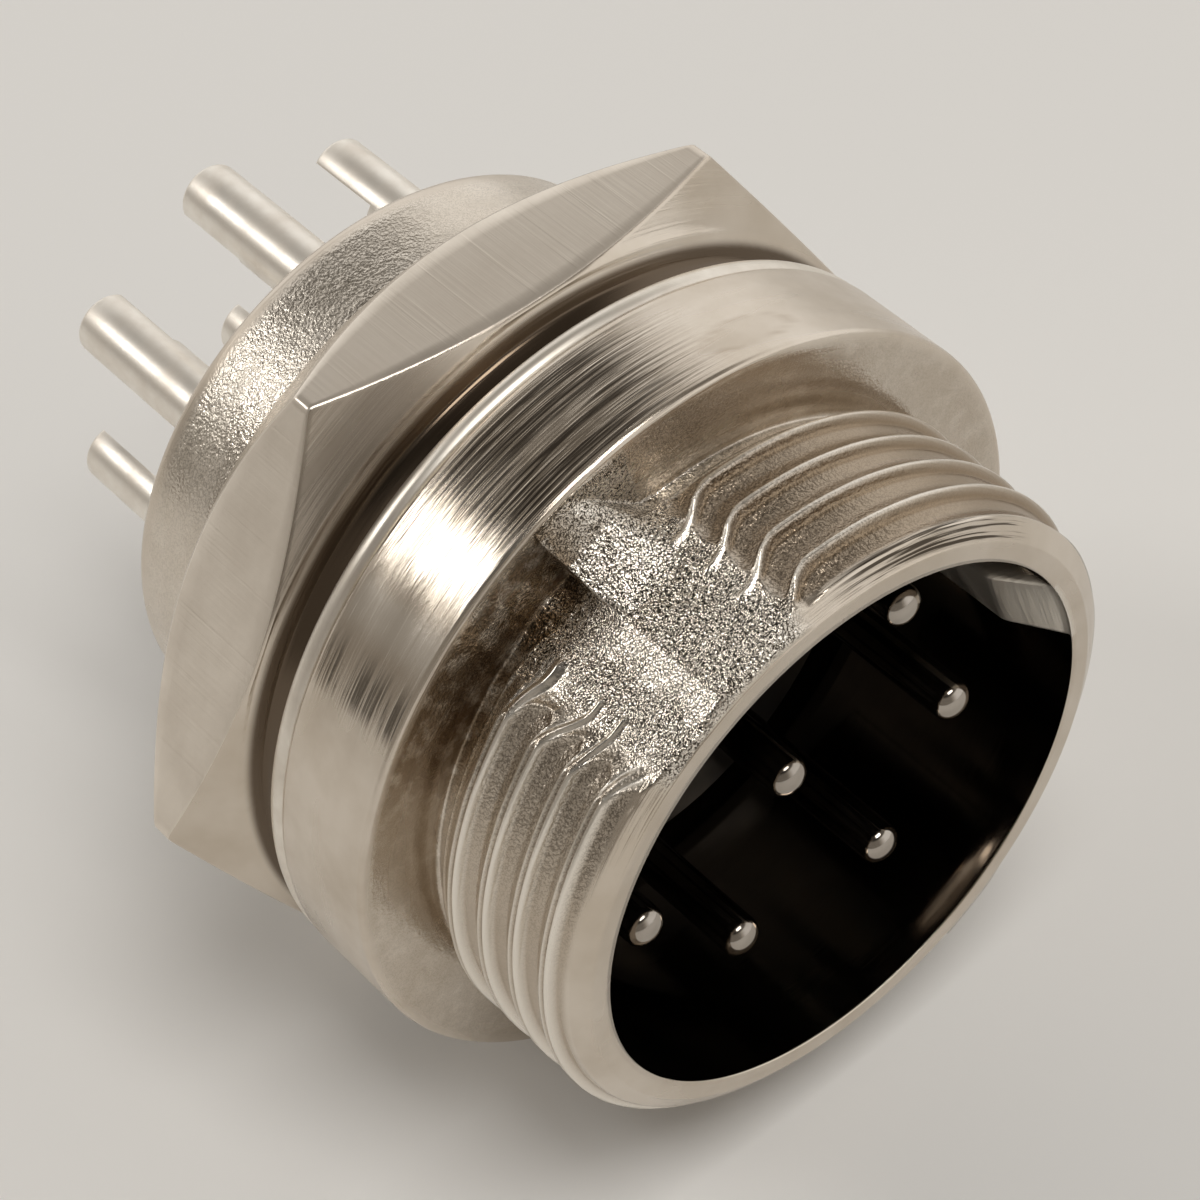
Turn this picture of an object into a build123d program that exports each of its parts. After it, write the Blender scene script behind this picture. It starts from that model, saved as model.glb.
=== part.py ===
from build123d import *
import os
from math import cos, radians, sin, sqrt, tan

# Panel-mount circular connector: a ring of pin contacts and one in the middle, in a die-cast shell,
# with a coupling thread in front and a nut and washer on the neck behind the collar.
# Millimetres. The connector's axis lies along Y, its mating front looks along -Y, and +Z is up.
# The origin is on the axis, in the plane of the collar's rear face, which seats on the panel.
# Angles are about the axis, counted from +X towards +Z, counter-clockwise as seen from the front.

# Shell, outside
thread_radius = 8.0             # crest of the M16x1 coupling thread and of the neck's thread
front_thread_length = 4.9       # from the front rim to the collar
rim_drop = 0.67                 # from the thread's crest in to the outer edge of the flat front rim
rim_lead = 0.45                 # length of the cone from the rim up to the thread's crest
relief_depth = 0.6              # relief between the coupling thread and the collar
relief_width = 0.5
collar_width = 1.5              # how far the collar stands out past the thread's crest
collar_length = 2.8
collar_edge = 0.15              # small bevel on both edges of the collar
neck_length = 5.0               # threaded neck behind the collar
neck_lead = 0.45                # length of the cone at the neck's end
skirt_drop = 0.55               # from the thread's crest in to the as-cast skirt behind the neck
skirt_edge = 0.3                # rounding of the skirt's rear edge

# Cast flats that interrupt both threads
flat_depth = 0.4                # from the thread's crest in to the parting ridge in the middle of each flat
flat_angle = 114.0              # where the first ridge lies; the second is opposite
flat_draft = 2.0                # slope of each half of a flat, away from the ridge, in degrees
pad_length = 1.9                # cast pad that rises from each flat to the collar, beside the ridge
pad_side = 0.1                  # the pad's straight side lies this far past the ridge
pad_foot_width = 1.9            # from the ridge to the pad's slanting side, at its foot
pad_top_width = 0.9             # the same at the collar
pad_top_drop = 0.1              # from the collar's bevel in to the top of the pad

# Shell, inside
barrel_wall = 1.2               # from the thread's crest in to the mating cavity
cavity_lip = 0.12               # bevel at the mouth of the cavity
cavity_depth = 6.5              # from the front rim to the insulator's face
key_angle = 16.6                # the key of the cavity
key_width = 2.2
key_height = 0.8                # how far the key stands in from the cavity's wall
key_ramp = 1.4                  # length of the slope at the key's front end
ledge_height = 0.6              # ledge that the front insulator seats on
ledge_length = 0.8
neck_wall = 1.2                 # from the thread's crest in to the bore that holds the insulators
groove_depth = 0.3              # groove of the retaining ring
groove_width = 0.7
rear_land = 0.5                 # wall left behind the groove, up to the shell's rear rim

# Insulators
nose_length = 1.0               # how far the front insulator's nose stands out past the ledge
front_insulator_length = 3.0    # body of the front insulator, behind the ledge
rear_insulator_length = 3.4
insulator_edge = 0.2            # bevel on the insulators' outer edges

# Contacts
ring_count = 7
ring_radius = 4.55
pin_radius = 0.5
tip_depth = 1.55                # from the front rim down to the tips of the pins in the ring
long_pin_extra = 0.4            # the two pins that mate first are longer by this
long_pins = (1, 2)
middle_tip_depth = 1.65
dome_length = 0.35              # dome of each tip, flatter than a half ball
shoulder_radius = 0.95
shoulder_length = 1.6           # half in each insulator
cup_radius = 0.8
cup_reach = 5.9                 # from the shell's rear rim to the ends of the cups
cup_bore_radius = 0.55
cup_bore_depth = 3.2
cup_window_length = 2.2         # the side of the cup that is cut away, from its end
cup_window_level = 0.1          # height above the cup's own axis from which it is cut away

# Retaining ring
ring_wire_radius = 0.33
ring_gap = 50.0                 # degrees left open

# Washer and nut
washer_inset = 0.05             # the washer's edge, inside the collar's
washer_thickness = 0.5
washer_edge = 0.12
nut_thickness = 3.9
nut_round_drop = 0.1            # from the flats in to the turned front end of the nut
nut_front_slope = 30.0          # chamfer behind the turned end, measured from the nut's face, in degrees
nut_front_depth = 1.85          # from the nut's front face back to its corners
nut_face_inset = 0.15           # circle left flat on the nut's rear face, inside its flats
nut_rear_depth = 1.55           # from the nut's rear face to its corners
nut_bore_chamfer = 0.5

# Fits
thread_clearance = 0.05         # nut on the neck, radial
washer_clearance = 0.1          # washer on the neck, radial
mould_clearance = 0.04          # insulators in the shell, radial
contact_clearance = 0.02        # contacts in the insulators, radial
seat_gap = 0.01                 # ring in its groove

# Radii worked out from the sizes above: the nut is as wide across its flats as the collar
rim_radius = thread_radius - rim_drop
relief_radius = thread_radius - relief_depth
skirt_radius = thread_radius - skirt_drop
flat_distance = thread_radius - flat_depth
cavity_radius = thread_radius - barrel_wall
ledge_radius = cavity_radius - ledge_height
insert_radius = thread_radius - neck_wall
groove_radius = insert_radius + groove_depth
collar_radius = thread_radius + collar_width
washer_radius = collar_radius - washer_inset
nut_across_flats = 2 * collar_radius
nut_round_radius = collar_radius - nut_round_drop
nut_face_radius = collar_radius - nut_face_inset

# Stations along the axis, worked out from the sizes above
collar_front = -collar_length
front_rim = collar_front - front_thread_length
insulator_face = front_rim + cavity_depth
ledge_front = insulator_face + nose_length
ledge_rear = ledge_front + ledge_length
split = ledge_rear + front_insulator_length
groove_front = split + rear_insulator_length
groove_rear = groove_front + groove_width
rear_rim = groove_rear + rear_land
cup_end = rear_rim + cup_reach
washer_rear = washer_thickness
nut_rear = washer_rear + nut_thickness
ring_step = 360.0 / ring_count
pocket_depth = shoulder_length / 2


def turned(points):
    """Solid of revolution about the axis, from an outline of (radius, station) corners."""
    outline = Polyline(*[(r, y) for r, y in points], close=True)
    return revolve(make_face(outline), Axis.Y, 360)


def rod(radius, start, end, x=0.0, z=0.0):
    """Cylinder along the axis from station start to station end."""
    disc = Plane.XZ.offset(-end) * Pos(x, z) * Circle(radius)
    return extrude(disc, amount=end - start)


def prism(profile, start, end, angle=0.0):
    """Profile drawn as seen from the front, turned about the axis and run from start to end."""
    return extrude(Plane.XZ.offset(-end) * Rot(0, 0, angle) * profile, amount=end - start)


def place(number):
    """Centre of a numbered contact, as seen from the front: 1 is the first one clockwise of the key."""
    if number > ring_count:
        return 0.0, 0.0
    angle = radians(key_angle - (number - 0.5) * ring_step)
    return ring_radius * cos(angle), ring_radius * sin(angle)


def inner_direction(number):
    """Angle from a contact towards the middle one, which is where its cup is open."""
    if number > ring_count:
        return key_angle
    return key_angle - (number - 0.5) * ring_step + 180.0


def shell_outside():
    """Turned and cast outline of the shell, with its two flats."""
    barrel = turned(
        [
            (0, front_rim),
            (rim_radius, front_rim),
            (thread_radius, front_rim + rim_lead),
            (thread_radius, collar_front - relief_width),
            (relief_radius, collar_front - relief_width),
            (relief_radius, collar_front),
            (0, collar_front),
        ]
    )
    neck = turned(
        [
            (0, 0),
            (thread_radius, 0),
            (thread_radius, neck_length - neck_lead),
            (skirt_radius, neck_length),
            (0, neck_length),
        ]
    )
    body = (barrel + neck) & flats_envelope()
    collar = turned(
        [
            (0, collar_front),
            (collar_radius - collar_edge, collar_front),
            (collar_radius, collar_front + collar_edge),
            (collar_radius, -collar_edge),
            (collar_radius - collar_edge, 0),
            (0, 0),
        ]
    )
    skirt = rod(skirt_radius, neck_length, rear_rim)
    skirt = fillet(skirt.edges().group_by(Axis.Y)[-1], skirt_edge)
    return body + cast_pads() + collar + skirt


def flats_envelope():
    """Block whose two long sides are the cast flats, each with a low ridge along its middle."""
    half = thread_radius + 1.0
    drop = half * tan(radians(flat_draft))
    low = flat_distance - drop
    lower = [(-half, -low), (0, -flat_distance), (half, -low)]
    upper = [(half, low), (0, flat_distance), (-half, low)]
    profile = make_face(Polyline(*lower, *upper, close=True))
    return prism(profile, front_rim, neck_length, flat_angle - 90.0)


def cast_pads():
    """Two pads that rise from the flats to the collar, no higher than the thread as far as it goes."""
    top = collar_radius - collar_edge - pad_top_drop
    foot = collar_front - pad_length
    knee = collar_front - relief_width
    slope = turned(
        [(0, foot), (relief_radius, foot), (thread_radius, knee), (top, collar_front), (top, 0), (0, 0)]
    )
    low = relief_radius - pad_side
    high = top + pad_side
    straight = [(-pad_side, high), (-pad_side, low)]
    slanting = [(pad_foot_width, low), (pad_top_width, high)]
    outline = make_face(Polyline(*straight, *slanting, close=True))
    outline += outline.mirror(Plane.XZ)
    return slope & prism(outline, foot, 0, flat_angle - 90.0)


def shell_inside():
    """Everything that is hollow in the shell: cavity, ledge, insert bore and groove."""
    hollow = turned(
        [
            (0, front_rim),
            (cavity_radius + cavity_lip, front_rim),
            (cavity_radius, front_rim + cavity_lip),
            (cavity_radius, ledge_front),
            (ledge_radius, ledge_front),
            (ledge_radius, ledge_rear),
            (insert_radius, ledge_rear),
            (insert_radius, groove_front),
            (groove_radius, groove_front),
            (groove_radius, groove_rear),
            (insert_radius, groove_rear),
            (insert_radius, rear_rim),
            (0, rear_rim),
        ]
    )
    return hollow - cavity_key()


def cavity_key():
    """Key on the cavity's wall, with a slope at its front end, as seen at its own angle."""
    inner = cavity_radius - key_height
    outer = cavity_radius + cavity_lip
    side = Polyline(
        (outer, front_rim),
        (cavity_radius, front_rim + cavity_lip),
        (inner, front_rim + key_ramp),
        (inner, ledge_front),
        (outer, ledge_front),
        close=True,
    )
    bar = extrude(make_face(side), amount=key_width / 2, both=True)
    return bar.rotate(Axis.Y, -key_angle)


def shell():
    """The die-cast shell."""
    return shell_outside() - shell_inside()


def contact_holes(radius, start, end):
    """One straight hole for each contact."""
    holes = [rod(radius, start, end, *place(n)) for n in range(1, ring_count + 2)]
    return Part() + holes


def front_insulator():
    """Disc behind the ledge, with a nose through it that is slotted for the key."""
    body_radius = insert_radius - mould_clearance
    nose_radius = ledge_radius - mould_clearance
    blank = turned(
        [
            (0, insulator_face),
            (nose_radius - insulator_edge, insulator_face),
            (nose_radius, insulator_face + insulator_edge),
            (nose_radius, ledge_rear),
            (body_radius, ledge_rear),
            (body_radius, split),
            (0, split),
        ]
    )
    slot_floor = cavity_radius - key_height - mould_clearance
    slot = Pos(slot_floor + key_height, 0) * Rectangle(2 * key_height, key_width + 2 * mould_clearance)
    blank -= prism(slot, insulator_face, ledge_front + mould_clearance, key_angle)
    blank -= contact_holes(pin_radius + contact_clearance, insulator_face, split)
    return blank - contact_holes(shoulder_radius + contact_clearance, split - pocket_depth, split)


def rear_insulator():
    """Disc that closes the contacts' pockets from behind."""
    body_radius = insert_radius - mould_clearance
    blank = turned(
        [
            (0, split),
            (body_radius, split),
            (body_radius, groove_front - insulator_edge),
            (body_radius - insulator_edge, groove_front),
            (0, groove_front),
        ]
    )
    blank -= contact_holes(cup_radius + contact_clearance, split, groove_front)
    return blank - contact_holes(shoulder_radius + contact_clearance, split, split + pocket_depth)


def contact(number):
    """Turned contact: domed pin, shoulder, and a solder cup that is open towards the middle."""
    tip = front_rim + (middle_tip_depth if number > ring_count else tip_depth)
    if number in long_pins:
        tip -= long_pin_extra
    shoulder_front = split - pocket_depth
    shoulder_rear = split + pocket_depth
    outline = Polyline(
        (pin_radius, tip + dome_length),
        (pin_radius, shoulder_front),
        (shoulder_radius, shoulder_front),
        (shoulder_radius, shoulder_rear),
        (cup_radius, shoulder_rear),
        (cup_radius, cup_end),
        (0, cup_end),
        (0, tip),
    )
    outline += EllipticalCenterArc((0, tip + dome_length), pin_radius, dome_length, -90, arc_size=90)
    body = revolve(make_face(outline), Axis.Y, 360)
    body -= rod(cup_bore_radius, cup_end - cup_bore_depth, cup_end)
    window = Pos(cup_window_level + cup_radius, 0) * Rectangle(2 * cup_radius, 3 * cup_radius)
    body -= prism(window, cup_end - cup_window_length, cup_end, inner_direction(number))
    x, z = place(number)
    return Pos(x, 0, z) * body


def retaining_ring():
    """Open wire ring in the groove, against the rear insulator, with its gap opposite the key."""
    centre_radius = groove_radius - seat_gap - ring_wire_radius
    centre = Pos(centre_radius, groove_front + seat_gap + ring_wire_radius)
    ring = revolve(Plane.XY * centre * Circle(ring_wire_radius), Axis.Y, 360.0 - ring_gap)
    return ring.rotate(Axis.Y, ring_gap / 2 - 180.0 - key_angle)


def panel_washer():
    """Thin washer with rounded outer edges."""
    ring = rod(washer_radius, 0, washer_thickness)
    ring = fillet(ring.edges(), washer_edge)
    return ring - rod(thread_radius + washer_clearance, 0, washer_thickness)


def panel_nut():
    """Hexagon nut with a turned front end, chamfered corners, and a bore chamfered at both ends."""
    corner = nut_across_flats / sqrt(3.0)
    bore = thread_radius + thread_clearance
    front_corner = washer_rear + nut_front_depth
    shoulder = front_corner - (corner - nut_round_radius) * tan(radians(nut_front_slope))
    cones = turned(
        [
            (0, washer_rear),
            (nut_round_radius, washer_rear),
            (nut_round_radius, shoulder),
            (corner, front_corner),
            (corner, nut_rear - nut_rear_depth),
            (nut_face_radius, nut_rear),
            (0, nut_rear),
        ]
    )
    hexagon = prism(RegularPolygon(corner, 6), washer_rear, nut_rear)
    hole = turned(
        [
            (0, washer_rear),
            (bore + nut_bore_chamfer, washer_rear),
            (bore, washer_rear + nut_bore_chamfer),
            (bore, nut_rear - nut_bore_chamfer),
            (bore + nut_bore_chamfer, nut_rear),
            (0, nut_rear),
        ]
    )
    return (hexagon & cones) - hole


def nodes():
    """Every piece under the name of its file."""
    pieces = {
        "shell": shell(),
        "front_insulator": front_insulator(),
        "rear_insulator": rear_insulator(),
        "retaining_ring": retaining_ring(),
        "panel_washer": panel_washer(),
        "panel_nut": panel_nut(),
    }
    for number in range(1, ring_count + 2):
        pieces[f"contact_{number}"] = contact(number)
    return pieces


os.makedirs("parts", exist_ok=True)
for name, piece in nodes().items():
    export_step(piece, f"parts/{name}.step")
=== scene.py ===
# %% [markdown]
# # A panel-mount connector, dressed for its portrait
# The real object is a small round connector: a die-cast, nickel-plated shell with a thread in front and
# one behind its collar, a washer, a hexagon nut, black insulators, and eight silvery contacts.
# Its solids come from the CAD model, in metres. This script keeps them where they are, puts finer pieces
# in the place of some of them, and gives every surface its finish.

# %% Load the CAD model
from math import pi, radians

import bmesh
import bpy
import numpy as np
from mathutils import Euler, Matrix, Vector


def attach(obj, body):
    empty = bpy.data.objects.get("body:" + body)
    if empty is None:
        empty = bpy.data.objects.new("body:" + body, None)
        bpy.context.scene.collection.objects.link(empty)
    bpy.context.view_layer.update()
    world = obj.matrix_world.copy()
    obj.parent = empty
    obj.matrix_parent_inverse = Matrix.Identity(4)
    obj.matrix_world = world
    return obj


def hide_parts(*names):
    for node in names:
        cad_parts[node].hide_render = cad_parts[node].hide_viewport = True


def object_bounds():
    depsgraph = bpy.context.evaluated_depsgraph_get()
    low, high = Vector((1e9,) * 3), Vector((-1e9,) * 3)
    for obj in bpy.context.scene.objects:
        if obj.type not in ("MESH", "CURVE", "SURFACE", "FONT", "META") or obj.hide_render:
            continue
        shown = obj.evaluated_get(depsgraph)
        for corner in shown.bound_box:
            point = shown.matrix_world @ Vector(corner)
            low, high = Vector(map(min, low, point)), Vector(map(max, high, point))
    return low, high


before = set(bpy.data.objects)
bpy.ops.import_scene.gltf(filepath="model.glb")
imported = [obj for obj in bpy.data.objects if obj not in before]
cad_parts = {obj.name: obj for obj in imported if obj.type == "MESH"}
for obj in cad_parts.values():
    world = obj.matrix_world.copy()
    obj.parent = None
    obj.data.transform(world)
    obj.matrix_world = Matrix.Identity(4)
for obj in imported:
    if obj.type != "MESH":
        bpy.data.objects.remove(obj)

MM = 0.001
cad_low, cad_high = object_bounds()
print("CAD box, mm:", [round(v / MM, 2) for v in cad_high - cad_low])

# %% [markdown]
# ## The camera
# A photograph's viewing angle can be found by trying, or by fitting a pinhole camera to circles and
# corners whose places are known. The fit was chosen, because a connector is all circles: it gives the
# place and the turn below. The lens is long, so that the barrel's far side isn't much smaller.

# %% Camera
camera_place = Vector((-31.056, -41.859, 60.271)) * MM
camera_turn = Euler([radians(a) for a in (41.267, 3.886, -40.670)])
camera_data = bpy.data.cameras.new("camera")
camera_data.lens = 105.34
camera_data.sensor_width = 36.0
camera_data.clip_start = 0.002
camera = bpy.data.objects.new("camera", camera_data)
camera.location = camera_place
camera.rotation_euler = camera_turn
bpy.context.scene.collection.objects.link(camera)
bpy.context.scene.camera = camera
bpy.context.scene.view_settings.view_transform = "Standard"
print("camera is", round(camera_place.length / MM, 1), "mm from the origin")

# %% [markdown]
# ## The studio
# Polished metal shows its surroundings, so the surroundings are half of its finish. A pale floor, a
# room that is pale on the right and dark overhead and on the left, one lamp behind on the left and a
# wider one above give nickel its light flanks, its dark streaks and its one bright patch.

# %% Floor
floor_level = cad_low.z
bpy.ops.mesh.primitive_plane_add(size=3.0, location=(0, 0, floor_level))
floor = bpy.context.object
floor.name = "floor"
paper = bpy.data.materials.new("pale_paper")
paper.use_nodes = True
paper_shader = paper.node_tree.nodes["Principled BSDF"]
paper_shader.inputs["Base Color"].default_value = (0.82, 0.81, 0.79, 1)
paper_shader.inputs["Roughness"].default_value = 0.85
paper_shader.inputs["Specular IOR Level"].default_value = 0.2
floor.data.materials.append(paper)
print("floor at", round(floor_level / MM, 2), "mm")

# %% Lamps
part_centre = Vector((0, 3, 0)) * MM


def add_lamp(name, direction, distance, width, power, colour):
    """Square soft lamp that looks at the middle of the part."""
    data = bpy.data.lights.new(name, "AREA")
    data.shape = "SQUARE"
    data.size = width
    data.energy = power
    data.color = colour
    lamp = bpy.data.objects.new(name, data)
    toward = Vector(direction).normalized()
    lamp.location = part_centre + toward * distance
    lamp.rotation_euler = toward.to_track_quat("Z", "Y").to_euler()
    bpy.context.scene.collection.objects.link(lamp)
    return lamp


LAMP_WHITE = (1.0, 0.98, 0.95)
key_lamp = add_lamp(
    "key_lamp", (-0.53, 0.56, 0.64), distance=0.6, width=0.15, power=0.55, colour=LAMP_WHITE
)
top_lamp = add_lamp(
    "top_lamp", (0.0, -0.32, 0.95), distance=0.6, width=0.28, power=1.5, colour=LAMP_WHITE
)
print("lamps:", key_lamp.name, "and", top_lamp.name)

# %% Room around the floor
world = bpy.data.worlds.new("room")
bpy.context.scene.world = world
world.use_nodes = True
room = world.node_tree
room.nodes.clear()


def room_node(kind, **values):
    """New node in the room, with some of its settings."""
    node = room.nodes.new(kind)
    for key, value in values.items():
        setattr(node, key, value)
    return node


def room_level(source, low, high, start, end):
    """Maps low..high of a source softly onto start..end."""
    node = room_node("ShaderNodeMapRange", interpolation_type="SMOOTHSTEP")
    for key, value in (("From Min", low), ("From Max", high), ("To Min", start), ("To Max", end)):
        node.inputs[key].default_value = value
    room.links.new(source, node.inputs["Value"])
    return node.outputs[0]


TOWARD_PALE_WALL = (0.966, 0.259, 0.0)
ROOM_SHADE = (1.0, 0.88, 0.74, 1)
direction = room_node("ShaderNodeTexCoord").outputs["Generated"]
split_direction = room_node("ShaderNodeSeparateXYZ")
room.links.new(direction, split_direction.inputs[0])
bright_side = room_node("ShaderNodeVectorMath", operation="DOT_PRODUCT")
bright_side.inputs[1].default_value = TOWARD_PALE_WALL
room.links.new(direction, bright_side.inputs[0])
around = room_level(bright_side.outputs["Value"], -0.45, 0.2, 0.27, 1.0)
overhead = room_level(split_direction.outputs["Z"], 0.58, 0.74, 1.0, 0.15)
level = room_node("ShaderNodeMath", operation="MULTIPLY")
room.links.new(around, level.inputs[0])
room.links.new(overhead, level.inputs[1])
tint = room_node("ShaderNodeMix", data_type="RGBA")
room.links.new(level.outputs[0], tint.inputs[0])
tint.inputs[6].default_value = ROOM_SHADE
tint.inputs[7].default_value = (*LAMP_WHITE, 1)
glow = room_node("ShaderNodeBackground")
room.links.new(tint.outputs[2], glow.inputs["Color"])
room.links.new(level.outputs[0], glow.inputs["Strength"])
room_output = room_node("ShaderNodeOutputWorld")
room.links.new(glow.outputs[0], room_output.inputs["Surface"])
print("room nodes:", len(room.nodes))

# %% [markdown]
# ## Effects that several finishes share
# Each effect is a node group that is built once. It reads the object's own coordinates, in millimetres,
# and puts out heights and masks. The materials decide how strong each one is.

# %% Helpers for node groups


class Recipe:
    """A node group in the making: its sockets, and short ways to add nodes and links."""

    def __init__(self, name, inputs, outputs):
        self.tree = bpy.data.node_groups.new(name, "ShaderNodeTree")
        for label, value in inputs.items():
            socket = self.tree.interface.new_socket(label, in_out="INPUT", socket_type="NodeSocketFloat")
            socket.default_value = value
        for label in outputs:
            self.tree.interface.new_socket(label, in_out="OUTPUT", socket_type="NodeSocketFloat")
        self.source = self.tree.nodes.new("NodeGroupInput")
        self.sink = self.tree.nodes.new("NodeGroupOutput")

    def add(self, kind, *feeds, **values):
        """New node; each feed goes into the input of the same number, and None leaves one as it is."""
        node = self.tree.nodes.new(kind)
        for key, value in values.items():
            setattr(node, key, value)
        for number, feed in enumerate(feeds):
            if feed is None:
                continue
            if isinstance(feed, (int, float, tuple)):
                node.inputs[number].default_value = feed
            else:
                self.tree.links.new(feed, node.inputs[number])
        return node

    def math(self, operation, *feeds):
        """Output of a Math node."""
        return self.add("ShaderNodeMath", *feeds, operation=operation).outputs[0]

    def position(self):
        """Place on the object in millimetres, as three outputs."""
        place = self.add("ShaderNodeTexCoord").outputs["Object"]
        scaled = self.add("ShaderNodeVectorMath", place, operation="SCALE")
        scaled.inputs["Scale"].default_value = 1 / MM
        return scaled.outputs[0], self.add("ShaderNodeSeparateXYZ", scaled.outputs[0]).outputs

    def noise(self, vector, scale, detail=2.0, roughness=0.5):
        """Noise of about zero to one, read at a vector."""
        node = self.add("ShaderNodeTexNoise", vector)
        if isinstance(scale, (int, float)):
            node.inputs["Scale"].default_value = scale
        else:
            self.tree.links.new(scale, node.inputs["Scale"])
        node.inputs["Detail"].default_value = detail
        node.inputs["Roughness"].default_value = roughness
        return node.outputs[0]

    def send(self, label, output):
        """Connects an output of the group."""
        self.tree.links.new(output, self.sink.inputs[label])


# %% [markdown]
# ### Turning marks
# A lathe leaves fine rings. On a cylinder they differ along the axis, and on a flat face across the
# radius, so the noise is read along the sum of both, and only slowly around the axis. Each ring then
# fades and comes back as it does on the real collar.

# %% Group: turning marks
RADIUS_SHARE, CHANGE_AROUND, BAND_SHARE = 0.83, 2.2, 0.17
turning = Recipe("turning_marks", {"Spacing": 0.12}, ["Height", "Bands"])
_, (px, py, pz) = turning.position()
squares = [turning.math("MULTIPLY", p, p) for p in (px, pz)]
radius = turning.math("SQRT", turning.math("ADD", *squares))
along = turning.math("ADD", py, turning.math("MULTIPLY", radius, RADIUS_SHARE))
step = turning.math("DIVIDE", along, turning.source.outputs["Spacing"])
around_x = turning.math("MULTIPLY", turning.math("DIVIDE", px, radius), CHANGE_AROUND)
around_z = turning.math("MULTIPLY", turning.math("DIVIDE", pz, radius), CHANGE_AROUND)
rings = turning.add("ShaderNodeCombineXYZ", step, around_x, around_z).outputs[0]
turning.send("Height", turning.noise(rings, 1.0, 3.0, 0.6))
wide_step = turning.math("MULTIPLY", step, BAND_SHARE)
wide = turning.add("ShaderNodeCombineXYZ", wide_step, around_x, around_z).outputs[0]
turning.send("Bands", turning.noise(wide, 1.0, 1.0))
print("turning marks:", len(turning.tree.nodes), "nodes")

# %% [markdown]
# ### Cast skin
# The die leaves a surface like fine orange peel, and plating makes every small hump of it shine. Two
# noises are enough: one for the grains, and a coarser one that lifts whole patches. Where the first is
# near its middle runs a winding line, and those lines are the furrows between the grains, which the shell
# paints dark, partly as dirt and partly as painted shade.

# %% Group: cast skin
COARSE_SHARE, COARSE_HEIGHT, FURROW_EDGE = 0.28, 0.8, 16.0
skin = Recipe("cast_skin", {"Grain": 0.13}, ["Height", "Furrows"])
point, _ = skin.position()
grain_scale = skin.math("DIVIDE", 1.0, skin.source.outputs["Grain"])
fine = skin.noise(point, grain_scale, 1.5, 0.55)
coarse = skin.noise(point, skin.math("MULTIPLY", grain_scale, COARSE_SHARE), 1.0)
skin.send("Height", skin.math("ADD", fine, skin.math("MULTIPLY", coarse, COARSE_HEIGHT)))
from_middle = skin.math("ABSOLUTE", skin.math("SUBTRACT", fine, 0.5))
skin.send("Furrows", skin.math("SUBTRACT", 1.0, skin.math("MULTIPLY", from_middle, FURROW_EDGE)))
print("cast skin:", len(skin.tree.nodes), "nodes")

# %% [markdown]
# ### Tone and handling
# Plating is never one even tone: it is a little browner and duller in patches, and has hairlines from
# handling. One group gives slow patches, another gives hairlines that run mostly one way, and a third
# gives the station along the axis, for the painted shade deep inside.

# %% Groups: tone patches, hairlines and station
tone = Recipe("tone_patches", {"Size": 3.0}, ["Patch"])
point, _ = tone.position()
tone.send("Patch", tone.noise(point, tone.math("DIVIDE", 1.0, tone.source.outputs["Size"]), 4.0, 0.6))

hairs = Recipe("axial_hairlines", {"Spacing": 0.1, "Length": 3.0}, ["Height"])
_, (px, py, pz) = hairs.position()
spacing = hairs.source.outputs["Spacing"]
stretched = hairs.add(
    "ShaderNodeCombineXYZ",
    hairs.math("DIVIDE", px, spacing),
    hairs.math("DIVIDE", py, hairs.source.outputs["Length"]),
    hairs.math("DIVIDE", pz, spacing),
).outputs[0]
hairs.send("Height", hairs.noise(stretched, 1.0, 3.0, 0.65))
place = Recipe("station_on_axis", {}, ["Station"])
_, (px, py, pz) = place.position()
place.send("Station", py)
print("tone patches:", len(tone.tree.nodes), "nodes, hairlines:", len(hairs.tree.nodes), "nodes")

# %% [markdown]
# ## Materials
# Every metal here is the same shader with other numbers: a colour that two tones of plating are mixed
# to, a roughness that varies, and a bump that adds up the marks of how the piece was made.

# %% Helper for materials


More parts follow.
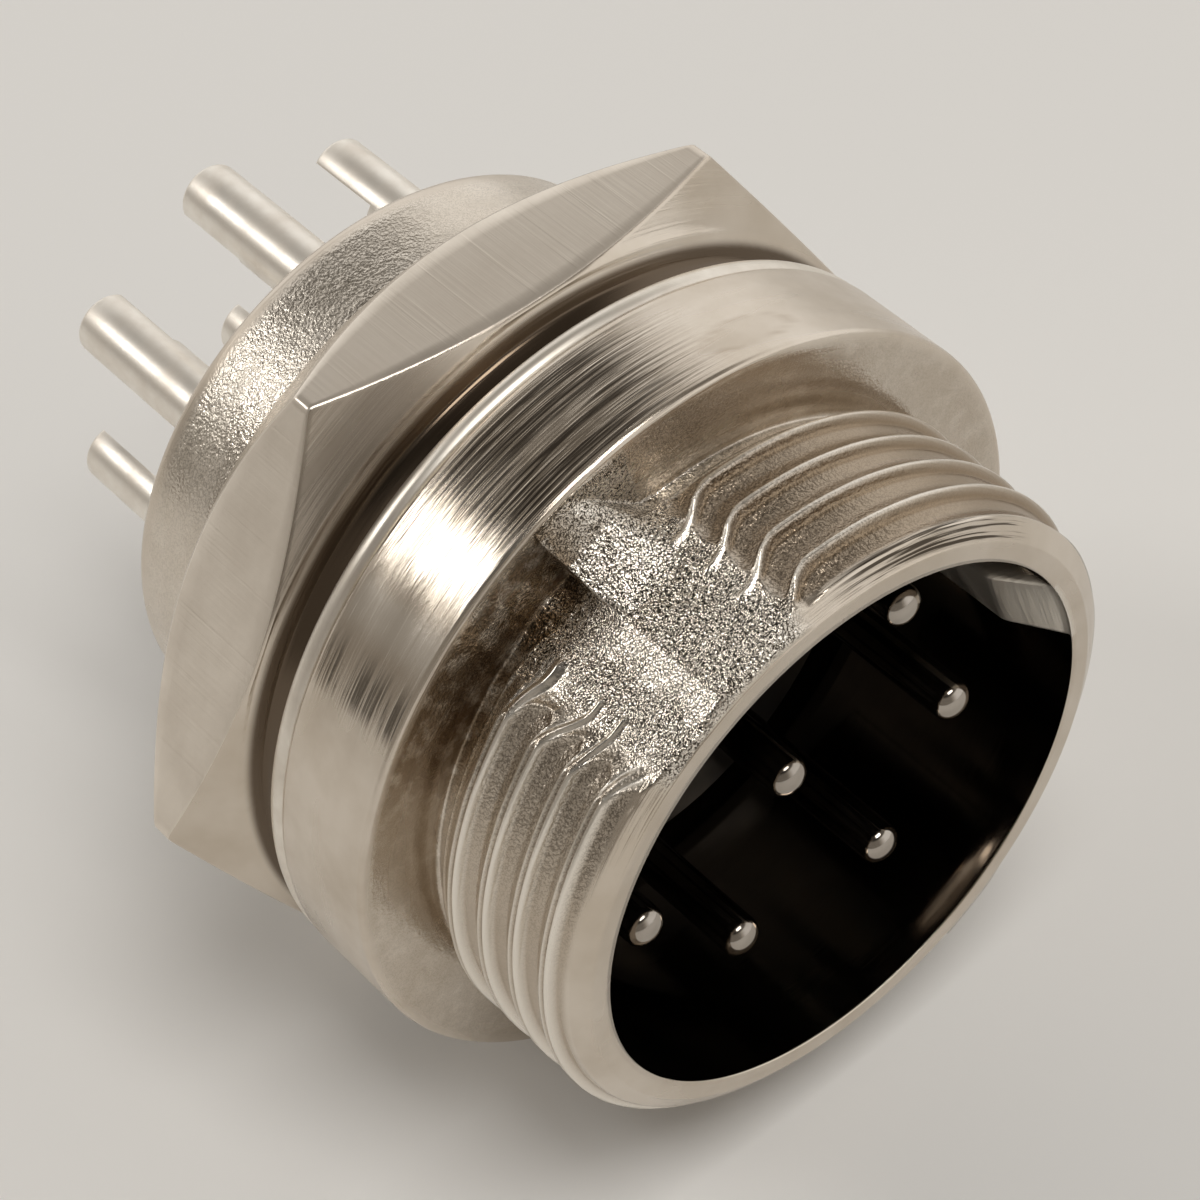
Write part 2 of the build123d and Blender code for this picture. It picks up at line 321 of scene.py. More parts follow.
class Finish:
    """A material in the making, around its Principled shader."""

    def __init__(self, name, metallic, roughness):
        self.material = bpy.data.materials.new(name)
        self.material.use_nodes = True
        self.tree = self.material.node_tree
        self.shader = self.tree.nodes["Principled BSDF"]
        self.shader.inputs["Metallic"].default_value = metallic
        self.shader.inputs["Roughness"].default_value = roughness

    def group(self, recipe, **values):
        """Places a shared group, with its own values."""
        node = self.tree.nodes.new("ShaderNodeGroup")
        node.node_tree = recipe.tree
        for key, value in values.items():
            node.inputs[key].default_value = value
        return node.outputs

    def math(self, operation, *feeds):
        """Output of a Math node."""
        node = self.tree.nodes.new("ShaderNodeMath")
        node.operation = operation
        for number, feed in enumerate(feeds):
            if isinstance(feed, (int, float)):
                node.inputs[number].default_value = feed
            else:
                self.tree.links.new(feed, node.inputs[number])
        return node.outputs[0]

    def mask(self, name):
        """A mask that is stored on the mesh."""
        node = self.tree.nodes.new("ShaderNodeAttribute")
        node.attribute_name = name
        return node.outputs["Fac"]

    def span(self, source, low, high, start=0.0, end=1.0):
        """Maps low..high of a source onto start..end."""
        node = self.tree.nodes.new("ShaderNodeMapRange")
        self.tree.links.new(source, node.inputs["Value"])
        for key, value in (("From Min", low), ("From Max", high), ("To Min", start), ("To Max", end)):
            node.inputs[key].default_value = value
        return node.outputs[0]

    def blend(self, factor, first, second):
        """Colour between two, each of them a tone or the output of another blend."""
        node = self.tree.nodes.new("ShaderNodeMix")
        node.data_type = "RGBA"
        self.tree.links.new(factor, node.inputs[0])
        for socket, tone_value in ((node.inputs[6], first), (node.inputs[7], second)):
            if isinstance(tone_value, tuple):
                socket.default_value = (*tone_value, 1)
            else:
                self.tree.links.new(tone_value, socket)
        return node.outputs[2]

    def paint(self, source):
        """Feeds the base colour."""
        self.tree.links.new(source, self.shader.inputs["Base Color"])

    def rough(self, source):
        """Feeds the roughness."""
        self.tree.links.new(source, self.shader.inputs["Roughness"])

    def bump(self, height, depth_mm):
        """Feeds the normal from a height, whose full range is that deep."""
        node = self.tree.nodes.new("ShaderNodeBump")
        node.inputs["Strength"].default_value = 1.0
        node.inputs["Distance"].default_value = depth_mm * MM
        self.tree.links.new(height, node.inputs["Height"])
        self.tree.links.new(node.outputs["Normal"], self.shader.inputs["Normal"])


NICKEL_LIGHT = (0.70, 0.63, 0.545)
NICKEL_WARM = (0.57, 0.495, 0.405)
BRIGHT = (0.87, 0.82, 0.74)
STAIN_AND_SHADE_BROWN = (0.33, 0.25, 0.17)
DIRT_AND_SHADE_DARK = (0.07, 0.055, 0.04)

# %% [markdown]
# ### Plated die casting
# The shell is turned where it has to fit and left as cast elsewhere. Masks on its mesh say where each
# skin shows, so one material covers the whole outside without a seam: `cast`, painted lighter as a
# painted sheen, with furrows painted dark as dirt and painted shade, `turned`, `shaded_lines`, painted
# shade in the turning marks, `matt` where neither lathe nor polish came, `wear_and_highlight`, rubbed
# crests and painted highlights, `blotches_and_shade`, brown blotches that are partly stains and partly
# painted shade, and `stain_and_shade`, where it is evenly dull: an old stain on the collar, and painted
# shade in the thread's floors.

# %% Material: shell outside
CAST_PAINTED_SHEEN, CAST_HEIGHT, TURNED_HEIGHT, SKIN_DEPTH_MM = 0.85, 0.85, 0.4, 0.05
shell_finish = Finish("nickel_cast", 1.0, 0.2)
cast_mask = shell_finish.mask("cast")
turned_mask = shell_finish.mask("turned")
marks = shell_finish.group(turning, Spacing=0.09)
peel = shell_finish.group(skin, Grain=0.075)
patch = shell_finish.group(tone, Size=2.2)["Patch"]
blotch = shell_finish.span(shell_finish.group(tone, Size=0.45)["Patch"], 0.34, 0.52)
# partly stains, partly painted shade: brown blotches on the collar's front face and on the relief
brown_blotches_and_shade = shell_finish.math("MULTIPLY", shell_finish.mask("blotches_and_shade"), blotch)
plating = shell_finish.blend(shell_finish.span(patch, 0.35, 0.75), NICKEL_LIGHT, NICKEL_WARM)
# painted sheen: the as-cast skin is painted lighter, for the glints of its grains
plating = shell_finish.blend(shell_finish.math("MULTIPLY", cast_mask, CAST_PAINTED_SHEEN), plating, BRIGHT)
plating = shell_finish.blend(brown_blotches_and_shade, plating, STAIN_AND_SHADE_BROWN)
# an old stain on the collar, and painted shade over the thread's floors
plating = shell_finish.blend(shell_finish.mask("stain_and_shade"), plating, STAIN_AND_SHADE_BROWN)
# rubbed crests, and painted highlights on the collar, the key, a strip by the parting ridge and the burrs
plating = shell_finish.blend(shell_finish.mask("wear_and_highlight"), plating, BRIGHT)
# dirt and painted shade in the furrows of the cast skin
furrow_dirt_and_shade = shell_finish.math("MULTIPLY", shell_finish.span(peel["Furrows"], 0.0, 0.5), cast_mask)
dark_rings = shell_finish.span(marks["Height"], 0.46, 0.54)
# painted shade: the turning marks are darkened in the turn bands that the mask picks
shaded_rings = shell_finish.math("MULTIPLY", dark_rings, shell_finish.mask("shaded_lines"))
shell_finish.paint(shell_finish.blend(shell_finish.math("MAXIMUM", furrow_dirt_and_shade, shaded_rings), plating, DIRT_AND_SHADE_DARK))
turned_share = shell_finish.math("MULTIPLY", turned_mask, TURNED_HEIGHT)
turned_height = shell_finish.math("MULTIPLY", marks["Height"], turned_share)
cast_height = shell_finish.math("MULTIPLY", peel["Height"], cast_mask)
lower_cast = shell_finish.math("MULTIPLY", cast_height, CAST_HEIGHT)
shell_finish.bump(shell_finish.math("ADD", turned_height, lower_cast), SKIN_DEPTH_MM)
base_roughness = shell_finish.span(marks["Bands"], 0.3, 0.7, 0.15, 0.27)
skin_roughness = shell_finish.math("MULTIPLY", shell_finish.mask("matt"), 0.1)
shell_finish.rough(shell_finish.math("ADD", base_roughness, skin_roughness))
print("shell finish:", len(shell_finish.tree.nodes), "nodes")

# %% [markdown]
# ### The polished cavity
# The mating cavity looks black in the photograph although its wall is plated too. A mirror shows what is
# in front of it, and there that is the black insulator. So the wall is made smooth, and its plating is
# painted far darker than outside, as painted shade in the cavity; the rest of the black comes by itself.

# %% Material: shell inside
BORE_SHADE_LIGHT, BORE_SHADE_DARK = (0.34, 0.29, 0.24), (0.22, 0.18, 0.14)
bore_finish = Finish("nickel_bore", 1.0, 0.1)
patch = bore_finish.group(tone, Size=1.6)["Patch"]
marks = bore_finish.group(turning, Spacing=0.2)
# painted shade: the cavity's plating is painted far darker than the outside
bore_finish.paint(bore_finish.blend(patch, BORE_SHADE_LIGHT, BORE_SHADE_DARK))
bore_finish.rough(bore_finish.span(patch, 0.3, 0.7, 0.07, 0.13))
bore_finish.bump(marks["Height"], 0.002)
print("bore finish:", len(bore_finish.tree.nodes), "nodes")

# %% Material: nut, turned faces and drawn flanks
PAINTED_SHADE_BROWN, DRAWN_LIGHT = (0.13, 0.098, 0.07), (0.82, 0.75, 0.66)
nut_face_finish = Finish("nickel_turned", 1.0, 0.24)
marks = nut_face_finish.group(turning, Spacing=0.13)
patch = nut_face_finish.group(tone, Size=2.5)["Patch"]
plating = nut_face_finish.blend(nut_face_finish.span(patch, 0.3, 0.7), NICKEL_LIGHT, NICKEL_WARM)
# painted shade: the groove behind the washer and one side of the cone are painted dark brown
nut_face_finish.paint(nut_face_finish.blend(nut_face_finish.mask("painted_shade"), plating, PAINTED_SHADE_BROWN))
nut_face_finish.rough(nut_face_finish.span(marks["Bands"], 0.3, 0.7, 0.18, 0.3))
nut_face_finish.bump(marks["Height"], 0.007)

flank_finish = Finish("nickel_drawn", 1.0, 0.36)
lines = flank_finish.group(hairs, Spacing=0.09, Length=3.5)["Height"]
long_hairs = flank_finish.group(hairs, Spacing=0.16, Length=14.0)["Height"]
deep_lines = flank_finish.span(long_hairs, 0.56, 0.8)
patch = flank_finish.group(tone, Size=1.8)["Patch"]
flank_finish.paint(flank_finish.blend(flank_finish.span(patch, 0.3, 0.75), DRAWN_LIGHT, NICKEL_LIGHT))
flank_finish.rough(flank_finish.span(patch, 0.3, 0.7, 0.32, 0.42))
flank_finish.bump(flank_finish.math("ADD", lines, deep_lines), 0.003)
print("flank finish:", len(flank_finish.tree.nodes), "nodes")

# %% Material: washer
STEEL_WARM = (0.7, 0.64, 0.56)
washer_finish = Finish("washer_steel", 1.0, 0.24)
marks = washer_finish.group(turning, Spacing=0.12)
patch = washer_finish.group(tone, Size=1.5)["Patch"]
washer_finish.paint(washer_finish.blend(washer_finish.span(patch, 0.3, 0.7), BRIGHT, STEEL_WARM))
washer_finish.rough(washer_finish.span(patch, 0.3, 0.7, 0.36, 0.44))
washer_finish.bump(marks["Height"], 0.008)
print("washer finish:", len(washer_finish.tree.nodes), "nodes")

# %% [markdown]
# ### Contacts
# The mating ends are painted much darker than the cups, as painted shade in the cavity, and darker still
# towards their roots, where the painted shade is deepest. The cups are plain, pale and dull.

# %% Material: contacts
TIP_SHADE_LIGHT, TIP_SHADE_DARK, DEEP_SHADE = (0.5, 0.46, 0.41), (0.36, 0.32, 0.28), (0.1, 0.08, 0.06)
CUP_PALE, CUP_WARM = (0.93, 0.89, 0.82), (0.8, 0.74, 0.66)
tip_finish = Finish("silver_tip", 1.0, 0.2)
patch = tip_finish.group(tone, Size=0.8)["Patch"]
# painted shade: the tips are darker than the cups, and darker still towards their roots
deep = tip_finish.span(tip_finish.group(place)["Station"], -6.1, -4.9)
tip_finish.paint(tip_finish.blend(deep, tip_finish.blend(patch, TIP_SHADE_LIGHT, TIP_SHADE_DARK), DEEP_SHADE))
tip_finish.rough(tip_finish.span(patch, 0.3, 0.7, 0.1, 0.18))

cup_finish = Finish("silver_cup", 1.0, 0.3)
patch = cup_finish.group(tone, Size=0.8)["Patch"]
cup_finish.paint(cup_finish.blend(cup_finish.span(patch, 0.3, 0.75), CUP_PALE, CUP_WARM))
cup_finish.rough(cup_finish.span(patch, 0.3, 0.7, 0.34, 0.44))
cup_finish.bump(patch, 0.006)
print("cup finish:", len(cup_finish.tree.nodes), "nodes")

# %% Material: insulators
BLACK, WORN_BLACK = (0.003, 0.003, 0.003), (0.006, 0.0055, 0.005)
moulding_finish = Finish("black_moulding", 0.0, 0.25)
patch = moulding_finish.group(tone, Size=1.2)["Patch"]
peel = moulding_finish.group(skin, Grain=0.2)
moulding_finish.paint(moulding_finish.blend(patch, BLACK, WORN_BLACK))
moulding_finish.rough(moulding_finish.span(patch, 0.3, 0.7, 0.35, 0.5))
moulding_finish.bump(peel["Height"], 0.003)
print("moulding finish:", len(moulding_finish.tree.nodes), "nodes")

# %% Material: spring wire
WIRE_LIGHT, WIRE_DARK = (0.55, 0.53, 0.5), (0.4, 0.37, 0.33)
wire_finish = Finish("spring_wire", 1.0, 0.3)
patch = wire_finish.group(tone, Size=0.7)["Patch"]
wire_finish.paint(wire_finish.blend(patch, WIRE_LIGHT, WIRE_DARK))
wire_finish.rough(wire_finish.span(patch, 0.3, 0.7, 0.22, 0.36))
print("materials:", len(bpy.data.materials))

# %% [markdown]
# ## Round pieces from their sections
# A lathe would give the shell, but it can't give a helix, a flat or a key. So each piece is a skin over
# a grid: for each angle around the axis there is one closed section, a row of radii and stations. A
# section may change with the angle, and that makes threads, flats, keys and hexagons exactly where they
# belong. The columns stand closer together where the shape changes quickly.

# %% Helper: a ring-shaped skin


def ring_piece(name, turns, radii, stations, finishes, pick, masks=None):
    """Mesh over a grid of closed sections: turns in degrees, radii and stations in mm by turn.

    pick holds the number of the finish for each place of the grid, or for each place of the section.
    """
    count, length = radii.shape
    angle = np.radians(turns)[:, None]
    points = np.stack([radii * np.cos(angle), stations, radii * np.sin(angle)], axis=-1) * MM
    i, j = np.meshgrid(np.arange(count), np.arange(length), indexing="ij")
    next_i, next_j = (i + 1) % count, (j + 1) % length
    row, next_row = i * length, next_i * length
    quads = np.stack([row + j, row + next_j, next_row + next_j, next_row + j], axis=-1)
    mesh = bpy.data.meshes.new(name)
    mesh.from_pydata(points.reshape(-1, 3).tolist(), [], quads.reshape(-1, 4).tolist())
    for finish in finishes:
        mesh.materials.append(finish.material)
    numbers = np.broadcast_to(pick, radii.shape).astype(np.int32)
    mesh.polygons.foreach_set("material_index", numbers.ravel())
    for label, values in (masks or {}).items():
        layer = mesh.attributes.new(label, "FLOAT", "POINT")
        spread = np.broadcast_to(values, radii.shape).astype(np.float32)
        layer.data.foreach_set("value", spread.ravel())
    tidy = bmesh.new()
    tidy.from_mesh(mesh)
    bmesh.ops.recalc_face_normals(tidy, faces=tidy.faces)
    tidy.to_mesh(mesh)
    tidy.free()
    mesh.shade_smooth()
    piece = bpy.data.objects.new(name, mesh)
    bpy.context.scene.collection.objects.link(piece)
    return piece


def columns(base_step, *fine):
    """Turns from 0 to 360 degrees. Each fine entry is (from, to, step)."""
    turns = set(np.round(np.arange(0, 360, base_step), 4))
    for start, end, step_size in fine:
        turns = {t for t in turns if not start <= t <= end}
        turns |= set(np.round(np.arange(start, end + 1e-6, step_size) % 360, 4))
    return np.array(sorted(turns))


def smooth_min(a, b, width):
    """Lesser of two values, rounded where they meet."""
    blend = np.clip(1 - np.abs(a - b) / width, 0, 1)
    return np.minimum(a, b) - blend * blend * width / 4


def smooth_max(a, b, width):
    """Greater of two values, rounded where they meet."""
    return -smooth_min(-a, -b, width)


def smooth_step(value, low, high):
    """0 below low, 1 above high, with a soft passage."""
    t = np.clip((value - low) / (high - low), 0, 1)
    return t * t * (3 - 2 * t)


def between(value, rise, risen, fall, fallen):
    """1 from risen to fall, and 0 outside rise and fallen, with soft passages."""
    return smooth_step(value, rise, risen) * (1 - smooth_step(value, fall, fallen))


def ridge(distance, width):
    """1 at no distance, and almost 0 at twice the width."""
    return np.exp(-((distance / width) ** 2))


# %% [markdown]
# ## The thread
# M16x1 has a right-hand helix. For a point at a station and a turn, the nearest crest is found first,
# and the depth follows from how far away it is. In the photograph the crests are narrow ridges, and
# between them lie wide, shallow, dull floors, as the die leaves them.

# %% Helpers: thread
PITCH = 1.0
CREST = 8.0
THREAD_DEPTH = 0.32
FRONT_CREST, NECK_CREST = -5.42, 0.35


def past_crest(station, turn, first_crest):
    """Distance behind the nearest crest, negative before it. The helix comes forward as it turns."""
    phase = (station - first_crest) / PITCH + turn / 360.0
    return (phase - np.round(phase)) * PITCH


def groove_depth(away):
    """Depth below the crest at a distance from it: a steep flank, then a floor that still falls."""
    flank = 0.75 * THREAD_DEPTH * smooth_step(away, 0.03, 0.15)
    return flank + 0.25 * THREAD_DEPTH * smooth_step(away, 0.1, 0.5)


print("depth half a pitch from a crest:", round(float(groove_depth(np.array(0.5))), 3), "mm")

# %% [markdown]
# ## The shell
# Its section goes round the front rim, its turned lip, the coupling thread, a relief, the collar, the
# neck's thread, the as-cast skirt, and back through the bore, the ledge and the cavity. A plane through
# the collar's rear face, hidden by the insulators and the washer, parts it in a front and a rear piece,
# so that only the front one needs a fine grid.

# %% Shell: sections
FRONT_RIM, COLLAR_FRONT, NECK_END, REAR_RIM = -7.7, -2.8, 5.0, 8.2
COLLAR, FLAT_LEVEL, CAVITY, LEDGE = 9.5, 7.6, 6.8, 6.2
FACE_INNER, FACE_OUTER, FACE_WIDTH = 7.42, 9.37, 1.95
FLAT_TURN = 114.0
KEY_TURN = 16.6


def line(start, end, count):
    """Points on a straight run, without its last one."""
    t = np.linspace(0, 1, count, endpoint=False)[:, None]
    return np.array(start) * (1 - t) + np.array(end) * t


def arc(centre, size, start, end, count=4):
    """Rounded corner of a section, from one angle to another, in degrees."""
    a = np.radians(np.linspace(start, end, count))
    return np.stack([centre[0] + size * np.cos(a), centre[1] + size * np.sin(a)], -1)


front_runs = [
    ("rim", line((6.95, FRONT_RIM), (7.27, FRONT_RIM), 4)),
    ("rim", arc((7.27, FRONT_RIM + 0.06), 0.06, -90, -40)),
    ("thread", line((7.36, FRONT_RIM + 0.05), (CREST, COLLAR_FRONT - 0.5), 128)),
    ("relief", line((CREST, COLLAR_FRONT - 0.5), (7.4, COLLAR_FRONT - 0.02), 10)),
    ("face", line((FACE_INNER, COLLAR_FRONT), (FACE_OUTER, COLLAR_FRONT), 10)),
    ("edge", arc((FACE_OUTER, COLLAR_FRONT + 0.13), 0.13, -90, 0, 5)),
    ("collar", line((COLLAR, COLLAR_FRONT + 0.15), (COLLAR, -0.16), 22)),
    ("edge", arc((9.36, -0.14), 0.14, 0, 90, 5)),
    ("back", line((9.3, 0.0), (6.22, 0.0), 5)),
    ("inside", line((LEDGE, -0.02), (LEDGE, -0.18), 2)),
    ("inside", line((6.22, -0.2), (6.78, -0.2), 3)),
    ("cavity", line((CAVITY, -0.22), (CAVITY, FRONT_RIM + 1.6), 8)),
    ("cavity", line((CAVITY, FRONT_RIM + 1.6), (CAVITY, FRONT_RIM + 0.13), 14)),
    ("cavity", arc((6.9, FRONT_RIM + 0.1), -0.1, 0, 90, 5)),
]
rear_runs = [
    ("back", line((6.25, 0.0), (7.98, 0.0), 4)),
    ("neck", line((8.0, 0.03), (8.0, NECK_END - 0.02), 64)),
    ("skirt", line((7.45, NECK_END), (7.45, REAR_RIM - 0.3), 12)),
    ("edge", arc((7.15, REAR_RIM - 0.3), 0.3, 0, 90, 6)),
    ("inside", line((7.1, REAR_RIM), (6.86, REAR_RIM), 3)),
    ("inside", arc((6.86, REAR_RIM - 0.06), -0.06, -90, 0)),
    ("inside", line((6.8, 8.1), (6.8, 7.71), 2)),
    ("inside", line((6.8, 7.7), (7.08, 7.7), 2)),
    ("inside", line((7.1, 7.68), (7.1, 7.02), 2)),
    ("inside", line((7.08, 7.0), (6.8, 7.0), 2)),
    ("inside", line((6.8, 6.98), (6.8, 0.62), 4)),
    ("inside", line((6.8, 0.6), (6.22, 0.6), 2)),
    ("inside", line((6.2, 0.58), (6.2, 0.02), 2)),
]


def laid_out(runs, turns):
    """Kind of every place in a section, and radius and station of every place in the grid."""
    section = np.concatenate([run for _, run in runs])
    kinds = np.array([kind for kind, run in runs for _ in run])
    radii, stations = (np.broadcast_to(column, (len(turns), len(section))).copy() for column in section.T)
    return kinds, radii, stations


def from_ridge(turn):
    """Angle from the nearer parting ridge, in degrees, positive in the die half that has the pads."""
    off = (turn - FLAT_TURN + 90.0) % 180.0 - 90.0
    around_first = (turn - FLAT_TURN + 180.0) % 360.0 - 180.0
    return np.where((around_first >= -90.0) & (around_first < 90.0), -off, off)


flat_zones = [(91, 139, 0.35), (271, 317, 0.7)]
ridge_zones = [(113.2, 115.4, 0.1), (292.6, 294.8, 0.1)]
key_zone = (5, 28, 0.5)
front_turns = columns(1.8, *flat_zones, *ridge_zones, key_zone)
rear_turns = columns(1.8, (92, 136, 0.6), (272, 316, 0.6))
front_kinds, front_radii, front_stations = laid_out(front_runs, front_turns)
rear_kinds, rear_radii, rear_stations = laid_out(rear_runs, rear_turns)
print("front grid", front_radii.shape, "rear grid", rear_radii.shape)

# %% [markdown]
# ### Flats, run-outs and pads
# On two opposite sides the die left flats with a low parting ridge. The grooves rise and run out there,
# and each crest ends in a small curl: forward on the side with the pads, and every one a little
# otherwise on the other side. Beside the ridge a pad climbs from the flat to the collar. Its side along
# the ridge is steep, and the other one flows into the relief.

# %% Shell: shape of the front piece
side = from_ridge(front_turns[:, None])
off = np.abs(side)
station = front_stations
lean = np.radians(np.minimum(off, 40.0))
sunk = np.minimum(FLAT_LEVEL * np.tan(lean), 2.2)
by_the_ridge = 0.19 * np.minimum(sunk, 0.9)
in_the_middle = 0.03 * np.clip(sunk - 0.9, 0, 0.6)
by_the_thread = 0.16 * np.clip(sunk - 1.5, 0, 1)
flat_drop = np.where(side > 0, 0.04 * sunk, by_the_ridge + in_the_middle + by_the_thread)
flat_radius = (FLAT_LEVEL - flat_drop) / np.cos(lean)
print("flats fall beside their ridge by up to", round(float(flat_drop.max()), 2), "mm")

# %% Shell: crests, with their curls towards the flats
end_curl = 1 - smooth_step(off, 14.0, 24.0)
shift = np.where(side > 0, 0.6, 0.45 + 0.22 * np.sin(2.3 * station + 0.7)) * end_curl
past = past_crest(station + shift, front_turns[:, None], FRONT_CREST)
away = np.abs(past)
plain_half = smooth_step(-side, 0.0, 6.0)
notch = ridge(away, 0.04) * plain_half
beside_crest = np.maximum(away - 0.06 * plain_half, 0)
groove = (groove_depth(beside_crest) + 0.07 * notch) * smooth_step(off, 12.0, 19.0)
print("deepest groove:", round(float(groove.max()), 2), "mm")

# %% Shell: lip in front, relief behind, and the flats across both
LIP_START, LIP_SLOPE, RELIEF_DEPTH, SOFT = 7.36, 0.67 / 0.4, 0.6, 0.05
lip = LIP_START + (station - FRONT_RIM - 0.05) * LIP_SLOPE
low_front = 1 - smooth_step(off, 8.0, 14.0)
relief_start = COLLAR_FRONT - 0.62 - 0.5 * low_front
relief_floor = COLLAR_FRONT - 0.36 - 0.12 * low_front
relief = CREST - RELIEF_DEPTH * smooth_step(station, relief_start, relief_floor)
skin_radius = smooth_min(smooth_min(lip, CREST - groove, SOFT), relief, SOFT)
rim_of_groove = ridge(skin_radius - flat_radius, 0.045)
skin_radius = smooth_min(skin_radius, np.broadcast_to(flat_radius, station.shape), 0.03)
burr_place = between(off, 11.5, 13.0, 18.0, 24.0)
burr_span = between(station, FRONT_RIM + 0.5, FRONT_RIM + 0.9, -3.9, -3.5)
burr = ridge(away, 0.08) * burr_place * burr_span
skin_radius = skin_radius + 0.1 * burr + 0.05 * rim_of_groove * burr_place * burr_span
print("skin lies at, mm:", [round(float(v), 2) for v in (skin_radius.min(), skin_radius.max())])

# %% Shell: pads
PAD_TOP, PAD_SLOPE = 9.25, 0.4878
side_angle = np.radians(side)
pad_cone = np.interp(station, [-4.7, -3.3, -2.8], [7.4, 8.4, PAD_TOP])
straight = 0.1 / np.maximum(np.sin(-side_angle), 0.1 / 20.0)
slant = (1.9 + 7.3 * PAD_SLOPE) / np.maximum(np.sin(side_angle) + PAD_SLOPE * np.cos(side_angle), 0.05)
pad_sides = np.where(off < 60, np.minimum(straight, slant), 0.0)
pad_corner = np.where(side > 0, 0.7, 0.1)
pad = smooth_min(pad_cone, np.broadcast_to(pad_sides, station.shape), pad_corner)
on_skin = np.isin(front_kinds, ["thread", "relief"])
pad_foot = np.where(side > 0, 0.4, 0.06)
front_radii = np.where(on_skin, smooth_max(skin_radius, pad, pad_foot), front_radii)
face_start = np.clip(np.minimum(PAD_TOP, pad_sides), FACE_INNER, PAD_TOP)
on_face = front_kinds == "face"
narrowed_face = face_start + (front_radii - FACE_INNER) * (FACE_OUTER - face_start) / FACE_WIDTH
front_radii = np.where(on_face, narrowed_face, front_radii)
print("least outer radius on the thread:", round(float(front_radii[:, on_skin].min()), 2), "mm")

# %% Shell: key
KEY_LEVEL, KEY_RAMP = 6.0, 1.4
key_off = np.abs(front_turns[:, None] - KEY_TURN)
key_top = KEY_LEVEL / np.cos(np.radians(np.minimum(key_off, 30.0)))
ramp_share = np.clip((station - FRONT_RIM - 0.1) / KEY_RAMP, 0, 1)
key_ramp = CAVITY + (key_top - CAVITY) * smooth_min(ramp_share, np.full(ramp_share.shape, 0.97), 0.12)
key_flank = smooth_step(key_off, 9.1, 10.1)
key_surface = key_ramp * (1 - key_flank) + CAVITY * key_flank
in_cavity = front_kinds == "cavity"
front_radii = np.where(in_cavity, np.minimum(front_radii, key_surface), front_radii)
print("key stands", round(CAVITY - KEY_LEVEL, 2), "mm high")

# %% [markdown]
# ### Which skin lies where
# The flats are as cast, the collar and the lip are turned, and the thread keeps a trace of the casting
# that fades away from the flats. The turned lines on the collar stop where its plating was rubbed dull,
# and an old oval stain lies there. The crests are rubbed bright and carry a painted highlight, the floors
# between them and the foot in front of each crest get painted shade, and the collar's front face and the
# relief by the flats get brown blotches that are partly stains and partly painted shade.

# %% Shell: masks of the front piece
turn = front_turns[:, None]
on_collar = front_kinds == "collar"
flatness = 1 - smooth_step(off, 14.0, 19.0)
nearness = 1 - smooth_step(off, 18.0, 62.0)
lip_band = np.where(on_skin, 1 - smooth_step(station, FRONT_RIM + 0.32, FRONT_RIM + 0.5), 0)
pad_skin = np.where(on_skin | on_face, smooth_step(pad - skin_radius, -0.05, 0.1), 0)
rubbed = np.maximum(between(turn, 146, 151, 200, 230), 1 - smooth_step(turn, 70, 90))
cast = np.where(on_skin, np.maximum(flatness, 0.1 + 0.55 * nearness), 0.0)
cast = cast * (1 - lip_band * (1 - flatness))
cast = np.where(on_face, 0.12 + 0.5 * (1 - smooth_step(off, 10, 40)), cast)
cast = np.maximum(cast, pad_skin)
turned_amount = np.where(np.isin(front_kinds, ["collar", "edge", "rim", "face"]), 1.0, 0.0)
turned_amount = np.maximum(turned_amount, lip_band) * (1 - 0.8 * cast) * (1 - 0.85 * rubbed)
beside_flats = (1 - flatness) * (1 - lip_band)
matt = np.where(on_collar | (front_kinds == "edge"), rubbed, np.where(on_skin, beside_flats, 0.4))
# painted shade: the collar's front face and the relief are painted brown, most from turn 108 to 165, and
# the material breaks it into blotches
painted_shade = between(turn, 108, 116, 145, 165)
blotches_and_shade = np.where(on_face | (front_kinds == "relief"), 0.2 + 0.8 * painted_shade, 0.0)
print("as cast:", round(100 * float(cast[:, on_skin].mean())), "% of the barrel")

# %% Shell: masks of the bright crests with their painted highlight, and of the floors with their painted shade
threaded = np.where(on_skin & (station < COLLAR_FRONT - 0.6), beside_flats, 0.0)
# painted shadow: a dark line at the front foot of each crest
foot_shadow = ridge(past + 0.16, 0.05) * (1 - plain_half) + notch
crest = ridge(away - 0.11 * plain_half, 0.045 + 0.02 * plain_half)
# rubbed crests with a painted highlight, and painted highlight on the burrs and on a wider band by the
# flats
bulge_highlight = ridge(away, 0.17) * burr_place * burr_span * plain_half
crest_wear_and_highlight = threaded * crest * (0.75 + 0.25 * plain_half)
wear_and_highlight = np.maximum(np.maximum(crest_wear_and_highlight, burr), np.where(on_skin, bulge_highlight, 0))
# painted shade over the floors between the crests
shaded_floor = threaded * (1 - crest) * (0.8 - 0.35 * plain_half + 0.4 * foot_shadow)
print("rubbed bright:", round(100 * float(wear_and_highlight[:, on_skin].mean())), "% of the barrel")

# %% Shell: masks of the collar's painted highlight band, its stain, and the painted shade in the turning marks
# painted highlight: a light band around the collar from turn 130 to 139
wear_and_highlight = np.where(on_collar, 0.6 * between(turn, 130, 133, 135, 139), wear_and_highlight)
from_oval = np.hypot((turn - 73.5) / 7.5, (station + 1.95) / 0.45)
oval = 0.12 * (1 - smooth_step(from_oval, 0.9, 1.0)) + 0.3 * ridge(from_oval - 0.95, 0.07)
stain_and_shade = np.where(on_collar, oval, shaded_floor)
